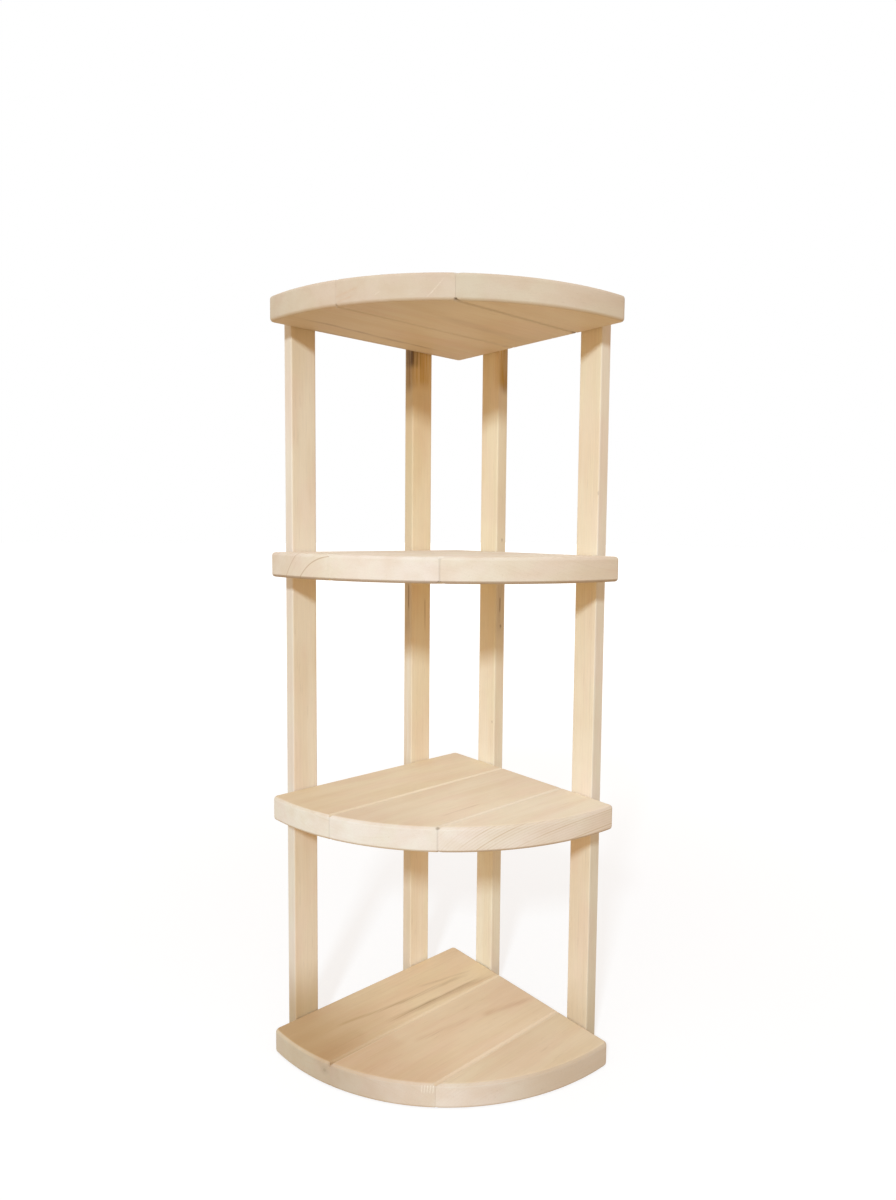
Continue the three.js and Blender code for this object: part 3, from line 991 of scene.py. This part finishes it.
def board_material(shelf, board):
    low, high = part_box(f"{shelf}_shelf_{board}_board")
    middle = (low + high) / 2
    cut = {**PLAIN_CUT, **BOARD_CUTS[shelf, board]}
    aside, above = cut["pith"]
    cut.update(
        pith=(middle.x + aside, 0.0, middle.z + above), span=(low.x, high.x), crest=PAINTED_CREST_SHADE_SHARES[shelf])
    lines = [
        (place(shelf, *start), place(shelf, *end), *look)
        for place, start, end, *look in BOARD_LINES.get((shelf, board), ())]
    spots = [(place(shelf, *centre), *look) for place, centre, *look in BOARD_SPOTS.get((shelf, board), ())]
    return lime_wood(f"lime_{shelf}_{board}", False, cut, board_joints(shelf, board), lines, spots)


def on_post(post, aside, back, height):
    """A place on a post, from the arris that faces the room, turned as an upright piece's grain is."""
    low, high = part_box(f"{post}_post")
    return (high.x + aside, -height, low.y + back)


# Lines in the posts: the offset from the arris, top, foot, width, waver, strength and colour
POST_LINES = {
    "left_rear": [
        # Painted shade under the top shelf, in brown, gold and deep brown
        ((-0.009, 0.0), 0.932, 0.852, 0.0140, 0.002, 0.85, PAINTED_SHADE_BROWN_UNDER_TOP),
        ((0.0, 0.017), 0.932, 0.860, 0.0260, 0.002, 0.75, PAINTED_SHADE_GOLD_UNDER_TOP),
        ((-0.005, 0.001), 0.932, 0.888, 0.0200, 0.002, 0.85, PAINTED_DEEP_SHADE_UNDER_TOP),
        # Painted shade under the upper shelf
        ((-0.009, 0.0), 0.620, 0.510, 0.0120, 0.002, 0.30, STAIN_AND_PAINTED_SHADE_BROWN),
        # Painted light where the lamp falls on the narrow face between the shelves
        ((-0.009, 0.0), 0.500, 0.310, 0.0130, 0.002, 0.75, PALE_GRAIN_AND_PAINTED_LIGHT),
        ((-0.007, 0.0), 0.591, 0.551, 0.0018, 0.001, 0.80, STAIN_AND_PAINTED_SHADE_BROWN),
        ((0.0, 0.024), 0.570, 0.520, 0.0024, 0.002, 0.50, MINERAL_BROWN),
    ],
    "right_rear": [
        # Painted shade under the top shelf, in brown and gold
        ((0.0, 0.012), 0.932, 0.852, 0.0120, 0.002, 0.85, PAINTED_SHADE_BROWN_UNDER_TOP),
        ((0.0, 0.009), 0.932, 0.856, 0.0160, 0.002, 0.85, PAINTED_SHADE_GOLD_UNDER_TOP),
        # Painted shade under the upper shelf
        ((0.0, 0.009), 0.620, 0.510, 0.0120, 0.002, 0.30, STAIN_AND_PAINTED_SHADE_BROWN),
        ((0.0, 0.0083), 0.574, 0.550, 0.0014, 0.001, 0.90, STAIN_AND_PAINTED_SHADE_BROWN),
    ],
}

# Spots in the posts: the offset from the arris with the height, radius, strength and colour
POST_SPOTS = {
    "right_rear": [
        ((0.0, 0.0105, 0.654), 0.0014, 0.60, KNOT_BROWN),
        ((0.0, 0.0099, 0.532), 0.0016, 0.70, KNOT_BROWN),
        ((-0.0045, 0.0, 0.395), 0.0012, 0.50, KNOT_BROWN),
    ],
    "right_front": [((0.0, 0.0, 0.714), 0.0014, 0.60, KNOT_BROWN)],
}

# Each post's colours at the foot and at the top: its narrow faces', then its wide faces'
POST_COLOURS = {
    "left_front": (((241, 235, 223), (239, 226, 208)), ((240, 224, 200), (231, 214, 188))),
    "left_rear": (((243, 229, 204), (228, 207, 168)), ((252, 240, 214), (239, 216, 176))),
    "right_rear": (((245, 235, 213), (237, 218, 186)), ((254, 246, 224), (246, 228, 194))),
    "right_front": (((230, 221, 203), (240, 226, 206)), ((248, 234, 212), (240, 223, 193))),
}

# How strongly shade is painted on the front posts' feet, next to the bottom shelf
PAINTED_FOOT_SHADES = {"left_front": 0.60, "right_front": 0.30}

# The cut that all posts share, given as a board's is
POST_CUT = dict(PLAIN_CUT, pith=(0.05, 0.04), year=0.0035, rings=(0.10, 0.10))


def post_material(post):
    low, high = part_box(f"{post}_post")
    middle = (low + high) / 2
    narrow, wide = POST_COLOURS[post]
    aside, back = POST_CUT["pith"]
    cut = dict(
        POST_CUT, pith=(middle.x + aside, 0.0, middle.y + back), face=narrow, rim=wide,
        span=(low.z, high.z), foot=PAINTED_FOOT_SHADES.get(post, 0.0),
        narrow_side="Y" if high.y - low.y > high.x - low.x else "X")
    lines = [
        (on_post(post, *offset, top), on_post(post, *offset, foot), *look)
        for offset, top, foot, *look in POST_LINES.get(post, ())]
    spots = [(on_post(post, *centre), *look) for centre, *look in POST_SPOTS.get(post, ())]
    return lime_wood(f"lime_{post}_post", True, cut, (), lines, spots)


# The unit

def touches(first, second):
    """Whether the boxes of two nodes of the frame overlap."""
    first_low, first_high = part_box(first)
    second_low, second_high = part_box(second)
    return all(first_low[i] < second_high[i] and second_low[i] < first_high[i] for i in range(3))


def build_board(shelf, board):
    node = f"{shelf}_shelf_{board}_board"
    dowels = [f"{shelf}_shelf_dowel_{dowel}" for dowel in DOWELS]
    screws = [f"screw_{post}_{shelf}" for post in POSTS]
    bores = [dowel_bore_bmesh(dowel) for dowel in dowels if touches(node, dowel)]
    bores += [screw_bore_bmesh(screw) for screw in screws if touches(node, screw)]
    bm = combine(board_bmesh(node), bores, "DIFFERENCE")
    add_piece(f"{shelf}_{board}_board", bm, board_material(shelf, board), node)


def build_post(post):
    node = f"{post}_post"
    bores = [screw_bore_bmesh(f"screw_{post}_{shelf}") for shelf in SHELVES]
    bm = combine(post_bmesh(node), bores, "DIFFERENCE")
    add_piece(f"{post}_upright", bm, post_material(post), node)


def build_screws():
    steel = plated_steel()
    pattern = screw_bmesh()
    for post in POSTS:
        for shelf in SHELVES:
            node = f"screw_{post}_{shelf}"
            bm = pattern.copy()
            lay_on_screw(bm, node)
            add_piece(f"{post}_{shelf}_screw", bm, steel, node)
    pattern.free()


def build_dowels():
    beech = dowel_beech()
    for shelf in SHELVES:
        for dowel in DOWELS:
            node = f"{shelf}_shelf_dowel_{dowel}"
            add_piece(f"{shelf}_{dowel}_dowel", dowel_bmesh(node), beech, node)


for shelf in SHELVES:
    for board in BOARDS:
        build_board(shelf, board)
for post in POSTS:
    build_post(post)
build_screws()
build_dowels()


# Floor, light and camera

# The floor: what it throws back on the unit, what the camera sees of it, and how it glows from the unit
# outwards, in metres
FLOOR_SIZE = 60.0
FLOOR_BOUNCE = (0.63, 0.47, 0.25, 1.0)
FLOOR_SEEN = (0.35, 0.35, 0.35, 1.0)
FLOOR_GLOW_REACH = (0.3, 3.0)
FLOOR_GLOWS = (0.70, 1.0)

# Light from all round
FILL_COLOUR = (1.0, 0.87, 0.78, 1.0)
FILL_STRENGTH = 0.65

# Soft lamps that face the unit's middle: bearing from +X towards -Y and elevation in degrees, distance
# and size in metres, power in watts, and colour
LAMP_TARGET = Vector((0, 0, 0.5))
LAMPS = {
    "key": (52.0, 27.3, 2.82, 0.26, 54.5, (0.65, 0.84, 1.0)),
    "top": (50.0, 68.0, 2.60, 1.60, 6.0, (1.0, 1.0, 1.0)),
}

# The camera of the photograph, from a fit to the outlines: its place from the shelves' square corner in
# metres, its bearing, tilt and roll in degrees, and its lens
CAMERA_PLACE = Vector((0.8743, -0.7469, 0.6675))
CAMERA_BEARING = 47.58
CAMERA_TILT_DOWN = 4.25
CAMERA_ROLL = 0.676
CAMERA_SENSOR = 36.0
CAMERA_LENS = 23.284
CAMERA_SHIFT = (-0.0291, -0.0101)


def split_by_ray(tree, output, lighting, seen):
    """Sends out one shader to light the unit, and another for the camera and what gloss and glass show."""
    path = add_node(tree, "LightPath").outputs
    gloss = calc(tree, "MAXIMUM", path["Is Glossy Ray"], path["Is Transmission Ray"])
    ray = calc(tree, "MAXIMUM", path["Is Camera Ray"], gloss)
    mix = add_node(tree, "MixShader", {0: ray, 1: lighting.outputs[0], 2: seen.outputs[0]})
    feed(tree, add_node(tree, output).inputs, {"Surface": mix.outputs[0]})


def pale_stage():
    """A pale floor, which the camera sees near white, with the unit's soft shadow on it."""
    bpy.ops.mesh.primitive_plane_add(size=FLOOR_SIZE, location=ORIGIN)
    floor = bpy.context.object
    floor.name = "floor"
    material, tree, _ = new_material("pale_floor")
    tree.nodes.clear()
    away = vector_calc(tree, "LENGTH", add_node(tree, "TexCoord").outputs["Object"])
    strength = ramp(tree, away, *FLOOR_GLOW_REACH, *FLOOR_GLOWS)
    plain = add_node(tree, "BsdfDiffuse", {"Color": FLOOR_BOUNCE})
    seen = add_node(tree, "BsdfDiffuse", {"Color": FLOOR_SEEN})
    glow = add_node(tree, "Emission", {"Color": WHITE, "Strength": strength})
    shown = add_node(tree, "AddShader", {0: seen.outputs[0], 1: glow.outputs[0]})
    split_by_ray(tree, "OutputMaterial", plain, shown)
    floor.data.materials.append(material)


def studio_world():
    """Warm light from all round, which the camera sees as white."""
    world = bpy.data.worlds.new("studio")
    bpy.context.scene.world = world
    world.use_nodes = True
    tree = world.node_tree
    tree.nodes.clear()
    fill = add_node(tree, "Background", {"Color": FILL_COLOUR, "Strength": FILL_STRENGTH})
    white = add_node(tree, "Background", {"Color": WHITE, "Strength": 1.0})
    split_by_ray(tree, "OutputWorld", fill, white)


def softbox(name, bearing, elevation, distance, size, power, colour):
    """A square lamp that faces the unit's middle."""
    turn, rise = math.radians(bearing), math.radians(elevation)
    away = Vector((math.cos(rise) * math.cos(turn), -math.cos(rise) * math.sin(turn), math.sin(rise)))
    lamp = bpy.data.lights.new(name, "AREA")
    lamp.shape = "SQUARE"
    lamp.size = size
    lamp.energy = power
    lamp.color = colour
    holder = new_object(name, lamp)
    holder.location = LAMP_TARGET + away * distance
    holder.rotation_euler = away.to_track_quat("Z", "Y").to_euler()


def place_camera():
    camera = bpy.data.cameras.new("camera")
    camera.sensor_width = CAMERA_SENSOR
    camera.lens = CAMERA_LENS
    camera.shift_x, camera.shift_y = CAMERA_SHIFT
    holder = new_object("camera", camera)
    turn = Matrix.Rotation(math.radians(CAMERA_BEARING), 4, "Z")
    tilt = Matrix.Rotation(QUARTER - math.radians(CAMERA_TILT_DOWN), 4, "X")
    roll = Matrix.Rotation(math.radians(CAMERA_ROLL), 4, "Z")
    holder.matrix_world = Matrix.Translation(CORNER + CAMERA_PLACE) @ turn @ tilt @ roll
    bpy.context.scene.camera = holder


pale_stage()
studio_world()
for name, settings in LAMPS.items():
    softbox(name, *settings)
place_camera()
bpy.context.scene.view_settings.view_transform = "Standard"
